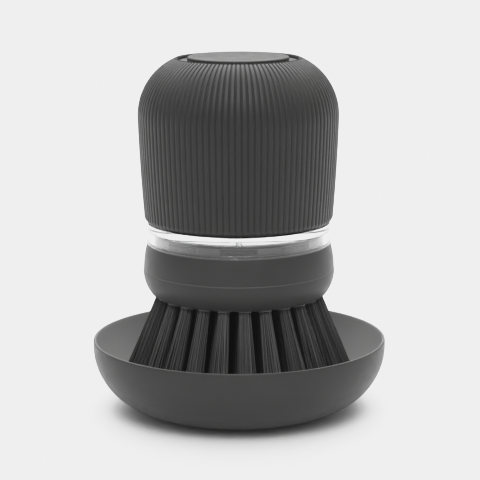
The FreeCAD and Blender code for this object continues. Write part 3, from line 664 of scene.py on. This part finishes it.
def upper_head():
    """Collar, sunk a little into the lower half, and spigot; on the spigot's outside r grows by the lug
    height times a step in angle and height. Also the share of soap film at each point."""
    foot_r = SEAM_R - SEAM_STEP
    edge_z = DECK_Z - COLLAR_EDGE
    edge_r = COLLAR_TOP_R - COLLAR_EDGE_INSET
    foot = np.array([(foot_r, SEAM_Z - SEAM_ROUND)])
    wall = upright_arc((foot_r, SEAM_Z - SEAM_ROUND / 2), (edge_r, edge_z), WALL_STEPS)
    edge_mid = (edge_r - COLLAR_EDGE, edge_z)
    edge = section_arc(edge_mid, COLLAR_EDGE, COLLAR_EDGE_START, 90, COLLAR_EDGE_STEPS)
    deck_z = DECK_Z + DECK_WET
    deck = np.array([(COLLAR_TOP_R - DECK_OUT, deck_z), (SPIGOT_R + SPIGOT_FILLET, deck_z),
                     (SPIGOT_R + FILLET_FOOT, DECK_Z + FILLET_FOOT)])
    heights = np.linspace(DECK_Z + SPIGOT_FILLET, SPIGOT_TOP - SPIGOT_EDGE, SPIGOT_STEPS)
    spigot = np.stack([np.full(len(heights), SPIGOT_R), heights], axis=1)
    rest = rounded([(SPIGOT_R, SPIGOT_TOP, 0.15), (SPIGOT_BORE_R, SPIGOT_TOP, 0.15),
                    (SPIGOT_BORE_R, DECK_Z - DECK_THICK, 0.2), (COLLAR_BORE_R, DECK_Z - DECK_THICK, 0.3),
                    (COLLAR_BORE_R, SEAM_Z + COLLAR_LIFT, 0.1)])
    outline = np.concatenate([foot, wall, edge, deck, spigot, rest])
    angles = np.arange(COLLAR_SIDES) * 2 * np.pi / COLLAR_SIDES
    from_lug = np.abs((np.degrees(angles) + 90 + 180 / LUG_COUNT) % (360 / LUG_COUNT) - 180 / LUG_COUNT)
    wide = smooth_step((LUG_HALF_WIDTH - from_lug) / LUG_SIDE_SOFT + 0.5)
    rise = smooth_step((outline[:, 1] - (SPIGOT_TOP - LUG_LOW)) / LUG_EDGE_SOFT + 0.5)
    fall = smooth_step((SPIGOT_TOP - LUG_HIGH - outline[:, 1]) / LUG_EDGE_SOFT + 0.5)
    on_spigot = np.isclose(outline[:, 0], SPIGOT_R)
    lug = (rise * fall * on_spigot)[:, None] * wide[None, :]
    on_deck = np.isclose(outline[:, 1], deck_z) & (outline[:, 0] > SPIGOT_R)
    edge_start = len(foot) + len(wall)
    on_edge = np.zeros(len(outline), bool)
    on_edge[edge_start + 1:edge_start + len(edge)] = True
    even_film = FILM_ON_DECK * on_deck + FILM_ON_EDGE * on_edge
    film = even_film[:, None] + FILM_ON_SPIGOT * on_spigot[:, None] * (1 - lug)
    return ring_points(outline, angles, LUG_PROUD * lug).reshape(-1, 3), film.ravel()


collar_points, soap_film = upper_head()
collar_faces = grid_faces(len(collar_points) // COLLAR_SIDES, COLLAR_SIDES, True)
collar = put("head_upper", collar_points, [collar_faces], "head_plastic", "head", "head_collar")
mark_points(collar, "painted_light_and_soap_film", soap_film)

# %% [markdown]
# The soap tank is clear plastic: a skirt over the spigot, a floor plate whose edge is the bright band under
# the cap, and a chamber that stands up inside the cap. Clear things show every surface, so the walls are
# real walls with an inside. The plate's two faces are flat and its corners nearly sharp: they mirror the
# light that comes in at the back on to the front, which is why the band looks white. The outlet in the plate
# is narrower here than in the CAD model, because a wide one shows as a dark mark in the band.

# %% Soap tank
BAND_R = 28.8
BAND_LIP_HEIGHT = 0.9
SKIRT_BORE_R = 26.95
SKIRT_DEPTH = 3.8
CAP_GAP = 0.2
NECK_R = 22.85
CHAMBER_R = 20.45
OUTLET_R = 0.7
SOCKET_R = 8.05
SOCKET_WALL = 1.7
SOCKET_DEPTH = 3.0
TANK_SIDES = 320


def soap_tank():
    """Skirt, lip, band, floor plate, neck, chamber, outlet and valve socket."""
    under = DECK_Z + SKIRT_DEPTH
    over = CAP_Z - CAP_GAP
    return rounded([
        (SKIRT_BORE_R, DECK_Z, 0.2), (BAND_LIP_R, DECK_Z, 0.2),
        (BAND_LIP_R, DECK_Z + BAND_LIP_HEIGHT, 0.15), (BAND_R, DECK_Z + BAND_LIP_HEIGHT, 0.1),
        (BAND_R, over, 0.1), (NECK_R, over, 0.3), (NECK_R, NECK_TOP, 0.4), (CHAMBER_R, NECK_TOP, 0.4),
        (CHAMBER_R, over, 0.5), (OUTLET_R, over, 0.1), (OUTLET_R, under, 0.1), (SOCKET_R, under, 0.1),
        (SOCKET_R, under - SOCKET_DEPTH, 0.2), (SOCKET_R + SOCKET_WALL, under - SOCKET_DEPTH, 0.3),
        (SOCKET_R + SOCKET_WALL, under, 0.1), (SKIRT_BORE_R, under, 0.1)])


put("tank", *turned(soap_tank(), TANK_SIDES), "clear_plastic", "tank", "soap_tank")

# %% [markdown]
# The cap is the part the palm holds. A hundred ribs run from its rounded lower edge up over the shoulder to
# the lip round the button. A rib is wide and hardly crowned, and the groove between two is narrow, like
# reeding on a coin. The section is carried round the axis and each groove is cut along the section's
# normal, so it stays as deep over the shoulder. More samples lie near each groove, where the surface bends
# most.

# %% Ribbed cap
RIB_COUNT = 100
RIB_CROWN = 0.18
GROOVE_DEPTH = 0.24
GROOVE_FLOOR = 0.06
GROOVE_FLANK = 0.3
RIB_SAMPLES = np.array([0.0, 0.45, 0.68, 0.84, 0.95, 1.05, 1.16, 1.32, 1.55])
CAP_EDGE_R = 28.05
CAP_FOOT_R = 29.75
CAP_ROUND = 2.0
CAP_EDGE_START = -80.0
CAP_EDGE_STOP = -6.0
CAP_BORE_R = 27.55
CAP_SIDE_BULGE = 0.2
WIDEST_Z = 94.6
SHOULDER_R = 19.5
DOME_WALL = 2.4
LIP_R = 18.9
LIP_EDGE = 0.6
LIP_START = 80.0
LIP_FOOT = 1.0
LIP_RIBS = 0.4              # share of the groove depth where the lip ends
RIB_RUNOUT = 1.5            # power with which the grooves deepen round the lower edge
SEAT_R = 20.0
BEZEL_FLANGE = 1.2
SEAT_Z = BEZEL_UNDER + BEZEL_FLANGE
LEDGE_R = 26.55
LID_TOP = 97.0
CAP_BEVEL = 0.1
BORE_MOUTH = 0.3
BORE_MOUTH_LOW = 0.05
CAP_EDGE_STEPS, CAP_SIDE_STEPS, SHOULDER_STEPS, LIP_STEPS, ROOF_STEPS = 8, 16, 44, 5, 9


def cap_section():
    """Closed section of the cap and, for each point, the share of the full groove depth there."""
    edge_mid = (CAP_FOOT_R - CAP_ROUND, CAP_Z + CAP_ROUND)
    edge = section_arc(edge_mid, CAP_ROUND, CAP_EDGE_START, CAP_EDGE_STOP, CAP_EDGE_STEPS)
    outward = (edge[:, 0] - edge[0, 0]) / (edge[-1, 0] - edge[0, 0])
    edge[:, 0] = CAP_EDGE_R + outward * (CAP_FOOT_R - CAP_EDGE_R)
    height = np.linspace(CAP_Z + CAP_ROUND, WIDEST_Z, CAP_SIDE_STEPS)[:-1]
    up = (height - height[0]) / (WIDEST_Z - height[0])
    side_r = CAP_FOOT_R + (CAP_R - CAP_FOOT_R) * up + 4 * CAP_SIDE_BULGE * up * (1 - up)
    side = np.stack([side_r, height], axis=1)
    middle = (CAP_R - SHOULDER_R, WIDEST_Z)
    lip_turn = math.degrees(math.acos((LIP_R + LIP_EDGE - middle[0]) / SHOULDER_R))
    shoulder = section_arc(middle, SHOULDER_R, 0, lip_turn, SHOULDER_STEPS)
    lip_mid = (LIP_R + LIP_EDGE, shoulder[-1, 1] - LIP_EDGE)
    lip = section_arc(lip_mid, LIP_EDGE, LIP_START, 180, LIP_STEPS)
    roof = SHOULDER_R - DOME_WALL
    begin = math.degrees(math.acos((SEAT_R - middle[0]) / roof))
    end = math.degrees(math.acos((LEDGE_R - middle[0]) / roof))
    seat = np.array([(LIP_R, SEAT_Z + LIP_FOOT), (LIP_R, SEAT_Z + CAP_BEVEL), (LIP_R + CAP_BEVEL, SEAT_Z),
                     (SEAT_R - CAP_BEVEL, SEAT_Z)])
    inside = section_arc(middle, roof, begin, end, ROOF_STEPS)
    bore = np.array([(LEDGE_R, LID_TOP + CAP_BEVEL), (LEDGE_R + CAP_BEVEL, LID_TOP),
                     (CAP_BORE_R - CAP_BEVEL, LID_TOP), (CAP_BORE_R, LID_TOP - CAP_BEVEL),
                     (CAP_BORE_R, CAP_Z + BORE_MOUTH), (CAP_BORE_R + CAP_BEVEL, CAP_Z + BORE_MOUTH_LOW)])
    outer = np.concatenate([edge, side, shoulder, lip])
    edge_share = np.linspace(0, 1, len(edge)) ** RIB_RUNOUT
    lip_share = np.linspace(1.0, LIP_RIBS, len(lip))
    share = np.concatenate([edge_share, np.ones(len(side) + len(shoulder)), lip_share])
    inner = np.concatenate([seat, inside, bore])
    return np.concatenate([outer, inner]), np.concatenate([share, np.zeros(len(inner))])


def ribbed_cap():
    """The section carried round, less the cut along its normal. With u from 0 in the middle of a groove to 1
    on top of a rib, the cut is depth * (1 - step((u - floor) / flank)) + crown * (1 - u)^2."""
    section, share = cap_section()
    angles = (np.arange(RIB_COUNT)[:, None] * 2 + RIB_SAMPLES[None, :]).ravel() * np.pi / RIB_COUNT
    from_groove = np.abs(np.tile(RIB_SAMPLES, RIB_COUNT) - 1)
    groove = GROOVE_DEPTH * (1 - smooth_step((from_groove - GROOVE_FLOOR) / GROOVE_FLANK))
    cut = share[:, None] * (groove + RIB_CROWN * (1 - from_groove) ** 2)[None, :]
    along = np.gradient(section, axis=0)
    along = along / np.linalg.norm(along, axis=1, keepdims=True)
    points = ring_points(section, angles, -cut * along[:, 1:])
    points[..., 2] += cut * along[:, :1]
    return points.reshape(-1, 3), [grid_faces(len(section), len(angles), True)]


put("cap", *ribbed_cap(), "cap_plastic", "cap", "ribbed_cap")

# %% [markdown]
# The button is a shallow dish with a rounded edge, so that the thumb finds its middle. It stands in a dark
# recess: the ring at the bottom of the recess holds it in, and its own flange stops under that ring. Both
# are turned outlines; the dish is an arc.

# %% Button and the ring round it
BUTTON_R = 15.85
BUTTON_EDGE = 0.4
BUTTON_EDGE_TURN = 82.0
BUTTON_DISH = 0.6
BUTTON_THICK = 2.2
BUTTON_UNDER = BUTTON_TOP - BUTTON_THICK
BUTTON_FLANGE = 1.3
BUTTON_BEVEL = 0.1
FLANGE_PLAY = 0.02
BUTTON_EDGE_STEPS, DISH_STEPS = 7, 18
BUTTON_SKIRT_BORE = 14.3
BOSS_R = 5.05
STEM_BORE = 3.05
BEZEL_BORE = 16.05
BEZEL_R = 18.8
BEZEL_SLOPE = 0.5
BUTTON_SIDES = 192


def push_button():
    """Dish z = top - dish * (1 - (r / edge)^2), rounded edge, side, flange, skirt and boss."""
    radius = np.linspace(BUTTON_R - BUTTON_EDGE, 0.0, DISH_STEPS)
    dish = np.stack([radius, BUTTON_TOP - BUTTON_DISH * (1 - (radius / radius[0]) ** 2)], axis=1)
    edge_mid = (BUTTON_R - BUTTON_EDGE, BUTTON_TOP - BUTTON_EDGE)
    edge = section_arc(edge_mid, BUTTON_EDGE, 0, BUTTON_EDGE_TURN, BUTTON_EDGE_STEPS)
    flange_low = BEZEL_UNDER - BUTTON_FLANGE
    flange_top = BEZEL_UNDER - FLANGE_PLAY
    under = np.array([(0.0, BUTTON_UNDER), (STEM_BORE, BUTTON_UNDER), (STEM_BORE, BUTTON_LOW),
                      (BOSS_R, BUTTON_LOW), (BOSS_R, BUTTON_UNDER), (BUTTON_SKIRT_BORE, BUTTON_UNDER),
                      (BUTTON_SKIRT_BORE, flange_low), (BUTTON_FLANGE_R, flange_low),
                      (BUTTON_FLANGE_R, flange_top), (BUTTON_R + BUTTON_BEVEL, flange_top),
                      (BUTTON_R, BEZEL_UNDER + BUTTON_BEVEL)])
    return np.concatenate([under, edge, dish])


put("button", *turned(push_button(), BUTTON_SIDES), "button_plastic", "button", "push_button")

bezel = rounded([(BEZEL_BORE, BEZEL_UNDER, 0.1), (BEZEL_FLANGE_R, BEZEL_UNDER, 0.1),
                 (BEZEL_FLANGE_R, SEAT_Z, 0.1), (BEZEL_R, SEAT_Z, 0.05),
                 (BEZEL_R, BEZEL_TOP + BEZEL_SLOPE, 0.1), (BEZEL_BORE, BEZEL_TOP, 0.3)])
put("bezel", *turned(bezel, BUTTON_SIDES), "head_plastic", "cap", "button_bezel")

# %% [markdown]
# A tuft is a bundle of about sixty nylon filaments, stapled into its hole and free to spread. Each filament
# here is a thin five-sided tube: its root is a place in the hole, chosen so that the bundle is evenly full,
# and its tip lies further out by the flare, with a little wander, so some filaments cross. All filaments of
# a ring are worked out at once as one array: tuft, filament, station along it, side of the tube.

# %% Tufts
# tufts, ring radius and seed of each ring
TUFT_RINGS = {"tufts_outer": (24, 24.3, 1), "tufts_second": (18, 18.3, 2), "tufts_third": (12, 12.3, 3),
              "tufts_inner": (6, 6.3, 4)}
OUTER_RING_R = 24.3
OUTER_LEAN = 20.0
FIRST_BEARING = 4.2
TUFT_R = 1.62
TUFT_FLARE = 2.7
FILAMENTS = 61
FILAMENT_R = 0.18
STATIONS = 7
TUBE_SIDES = 5
ROOT_DEPTH = 2.0
ROOT_SCATTER = 0.05
TIP_WANDER = 0.42
WANDER_POWER = 1.6
TIP_TRIM = 2.4              # tuft radii that a leaning tuft is cut back by, times the sine of its lean
LENGTH_SPREAD = 0.03
TIP_TAPER = 0.7
TONE_SHAPE = (1.6, 2.2)     # of the beta distribution that the tones are drawn from
GOLDEN_TURN = math.pi * (3 - math.sqrt(5))


def tuft_lean(radius):
    """Lean of a ring's tufts from upright, in radians: it grows evenly with the ring's radius."""
    return math.radians(OUTER_LEAN * radius / OUTER_RING_R)


def tuft_frame(count, radius):
    """Root point and three directions of each tuft: along it, outwards across it, and sideways."""
    lean = tuft_lean(radius)
    bearing = np.radians(FIRST_BEARING - 90 + 360 * np.arange(count) / count)
    outward = np.stack([np.cos(bearing), np.sin(bearing), np.zeros(count)], axis=1)
    sideways = np.stack([-np.sin(bearing), np.cos(bearing), np.zeros(count)], axis=1)
    up = np.array([0.0, 0.0, 1.0])
    along = outward * math.sin(lean) - up * math.cos(lean)
    across = outward * math.cos(lean) + up * math.sin(lean)
    return outward * radius + up * FACE_Z, along, across, sideways


def tuft_ring(name):
    """Filament centre = root + along * t + (across, sideways) . place, where place is
    offset * (1 + flare * t) + wander * (t / length)^power. A tube of five sides goes round it, closed at
    both ends. Also the tone at each point, one for each filament."""
    count, radius, seed = TUFT_RINGS[name]
    lean = tuft_lean(radius)
    chance = np.random.default_rng(seed)
    root, along, across, sideways = tuft_frame(count, radius)
    length = (FACE_Z - reach(name)[1]) / math.cos(lean) - TUFT_R * math.sin(lean) * TIP_TRIM
    order = np.arange(FILAMENTS) + 0.5
    packed = TUFT_R * np.sqrt(order / FILAMENTS)
    angle = order * GOLDEN_TURN + chance.uniform(0, 2 * np.pi, (count, 1))
    offset = np.stack([packed * np.cos(angle), packed * np.sin(angle)], axis=-1)
    offset = offset + chance.normal(0, ROOT_SCATTER, offset.shape)
    wander = chance.normal(0, TIP_WANDER, offset.shape)
    reach_of_each = length * (1 - LENGTH_SPREAD * chance.random((count, FILAMENTS)))
    share = np.linspace(0, 1, STATIONS)
    run = -ROOT_DEPTH + share * (reach_of_each[..., None] + ROOT_DEPTH)
    open_by = 1 + np.maximum(run, 0) * math.tan(math.radians(TUFT_FLARE)) / TUFT_R
    bend = (np.maximum(run, 0) / length) ** WANDER_POWER
    place = offset[:, :, None, :] * open_by[..., None] + wander[:, :, None, :] * bend[..., None]
    turn = 2 * np.pi * np.arange(TUBE_SIDES) / TUBE_SIDES
    thick = FILAMENT_R * np.where(np.arange(STATIONS) == STATIONS - 1, TIP_TAPER, 1.0)
    ring = np.stack([np.cos(turn), np.sin(turn)], axis=-1)[None, :, :] * thick[:, None, None]
    section = place[:, :, :, None, :] + ring[None, None]
    points = (root[:, None, None, None] + along[:, None, None, None] * run[..., None, None]
              + across[:, None, None, None] * section[..., :1]
              + sideways[:, None, None, None] * section[..., 1:])
    tubes = count * FILAMENTS
    start = (np.arange(tubes) * STATIONS * TUBE_SIDES)[:, None, None]
    ring_start = (np.arange(STATIONS - 1) * TUBE_SIDES)[None, :, None]
    side = np.arange(TUBE_SIDES)[None, None, :]
    side_on = (side + 1) % TUBE_SIDES
    low = start + ring_start
    ahead = low + TUBE_SIDES
    quads = np.stack([low + side, ahead + side, ahead + side_on, low + side_on], axis=-1).reshape(-1, 4)
    tip = start[:, 0] + (STATIONS - 1) * TUBE_SIDES + np.arange(TUBE_SIDES)[::-1]
    foot = start[:, 0] + np.arange(TUBE_SIDES)
    tone = np.repeat(chance.beta(*TONE_SHAPE, tubes), STATIONS * TUBE_SIDES)
    return points.reshape(-1, 3), [quads, tip, foot], tone


for ring_name in TUFT_RINGS:
    tuft_points, tuft_faces, tuft_tone = tuft_ring(ring_name)
    tuft_piece = put(ring_name + "_filaments", tuft_points, tuft_faces, "bristle", "head", ring_name)
    mark_points(tuft_piece, "filament_tone", tuft_tone)

# %% [markdown]
# Each tuft hole has a low round boss, so that the edge of the hole does not cut the nylon. The front of the
# outer ones peeps out under the head, and its end is painted light, as a painted highlight. A boss is a
# small sleeve turned about its tuft's own leaning axis.

# %% Bosses round the tuft holes
BOSS_WALL = 0.32
BOSS_PLAY = 0.02
BOSS_DROP = 0.9
BOSS_SIDES = 20
# how light the end of each boss is painted: a painted highlight
BOSS_PAINTED_HIGHLIGHT = 0.4


def tuft_bosses():
    """Sleeve outline (r, h above the face) carried round every tuft axis:
    root - along * h + r * (across cos + sideways sin). Also how light each point is painted: a painted
    highlight on the end that stands out of the face."""
    bore = TUFT_R + BOSS_PLAY
    out = TUFT_R + BOSS_WALL
    outline = rounded([(bore, -BOSS_DROP, 0.05), (out, -BOSS_DROP, 0.14), (out, ROOT_DEPTH, 0.05),
                       (bore, ROOT_DEPTH, 0.05)])
    turn = 2 * np.pi * np.arange(BOSS_SIDES) / BOSS_SIDES
    ring = ring_points(outline, turn).reshape(-1, 3)
    sleeve_faces = grid_faces(len(outline), BOSS_SIDES, True)
    points = []
    faces = []
    for count, radius, _ in TUFT_RINGS.values():
        root, along, across, sideways = tuft_frame(count, radius)
        sleeves = (root[:, None] + across[:, None] * ring[:, :1] + sideways[:, None] * ring[:, 1:2]
                   - along[:, None] * ring[:, 2:])
        start = sum(len(group) for group in points) + np.arange(count) * len(ring)
        points.append(sleeves.reshape(-1, 3))
        faces.append((sleeve_faces[None] + start[:, None, None]).reshape(-1, 4))
    points = np.concatenate(points)
    # painted highlight on the end of each boss
    painted_light_and_soap_paling = np.repeat(BOSS_PAINTED_HIGHLIGHT * (outline[:, 1] < -BOSS_DROP / 2), BOSS_SIDES)
    return points, faces, np.tile(painted_light_and_soap_paling, len(points) // len(painted_light_and_soap_paling))


boss_points, boss_faces, boss_painted_highlight = tuft_bosses()
bosses = put("tuft_bosses", boss_points, boss_faces, "head_plastic", "head")
# painted highlights on the bosses
mark_points(bosses, "painted_light_and_soap_film", boss_painted_highlight)

# %% [markdown]
# Inside the cap a coil spring lifts the button again. The wire follows a helix whose climb is slow at both
# ends, where the turns lie close.

# %% Button spring
WIRE_R = 0.4
COIL_R = COIL_OUT_R - WIRE_R
SPRING_TURNS = 6
END_PITCH = 1.3
STEPS_PER_TURN = 48
WIRE_SIDES = 10


def button_spring():
    """Tube round the helix (R cos, R sin, z(turn)), whose height rises by the end pitch over the first and
    last turn and evenly between."""
    turns = np.linspace(0, SPRING_TURNS, SPRING_TURNS * STEPS_PER_TURN + 1)
    low = SPRING_LOW + WIRE_R
    high = SPRING_HIGH - WIRE_R
    known_turns = [0, 1, SPRING_TURNS - 1, SPRING_TURNS]
    height = np.interp(turns, known_turns, [low, low + END_PITCH, high - END_PITCH, high])
    angle = 2 * np.pi * turns
    around = 2 * np.pi * np.arange(WIRE_SIDES) / WIRE_SIDES
    radius = COIL_R + WIRE_R * np.cos(around)[None, :]
    points = np.stack([radius * np.cos(angle)[:, None], radius * np.sin(angle)[:, None],
                       height[:, None] + WIRE_R * np.sin(around)[None, :]], axis=-1)
    faces = grid_faces(len(turns), WIRE_SIDES, False)[:, ::-1]
    first = np.arange(WIRE_SIDES)[None, :]
    last = (len(turns) - 1) * WIRE_SIDES + np.arange(WIRE_SIDES)[None, ::-1]
    return points.reshape(-1, 3), [faces, first, last]


spring = put("spring", *button_spring(), "spring_steel", "cap", "button_spring")
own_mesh(spring)

# %% [markdown]
# The pieces that never show, such as seals, valves and the pump, keep their CAD shape and get their finish.

# %% Finish the CAD pieces that stay
for subpart in frame["record"]["subparts"]:
    node = frame["nodes"][subpart["node"]]
    if not node.hide_render:
        node.data.materials.clear()
        node.data.materials.append(FINISHES[subpart["material_slot"]])
        print("CAD shape kept:", subpart["node"])

# %% [markdown]
# The floor is a plain sheet of paper, wide enough to fill the picture from every side, and turned up far
# behind. It is white round the object and turns to a light grey in front, which mirrors less in the sides
# that face the camera, so they stay dark. The clear band mirrors the paper that stands up behind.

# %% Floor
FLOOR_HALF = 6000.0
WALL_BACK = 2500.0
WALL_HEIGHT = 1400.0
FLOOR_DROP = 0.02
WHITE_PAPER = (0.8, 0.8, 0.8)
GREY_PAPER = (0.36, 0.36, 0.36)
GREY_STARTS = -76.0
GREY_FULL = -240.0
PAPER_ROUGHNESS = 0.9


def floor_paper():
    """Matt paper whose colour runs from white to grey with the distance in front of the object."""
    material, tree, shader, place = new_finish("floor_paper")
    split = tree.nodes.new("ShaderNodeSeparateXYZ")
    tree.links.new(place, split.inputs[0])
    forward = tree.nodes.new("ShaderNodeMapRange")
    forward.interpolation_type = "SMOOTHSTEP"
    forward.inputs["From Min"].default_value = GREY_STARTS * MM
    forward.inputs["From Max"].default_value = GREY_FULL * MM
    tree.links.new(split.outputs["Y"], forward.inputs["Value"])
    tree.links.new(tinted(tree, forward.outputs[0], WHITE_PAPER, GREY_PAPER), shader.inputs["Base Color"])
    shader.inputs["Roughness"].default_value = PAPER_ROUGHNESS
    shader.inputs["Specular IOR Level"].default_value = 0.0
    return material


sheet_rows = np.array([(-FLOOR_HALF, -FLOOR_DROP), (WALL_BACK, -FLOOR_DROP), (WALL_BACK, WALL_HEIGHT)])
sheet_points = np.array([(side * FLOOR_HALF, y, z) for y, z in sheet_rows for side in (-1, 1)])
floor_mesh = bpy.data.meshes.new("floor")
floor_mesh.from_pydata((sheet_points * MM).tolist(), [], [(0, 1, 3, 2), (2, 3, 5, 4)])
floor_mesh.materials.append(floor_paper())
floor = bpy.data.objects.new("floor", floor_mesh)
bpy.context.scene.collection.objects.link(floor)
print("floor", len(floor_mesh.polygons), "faces")
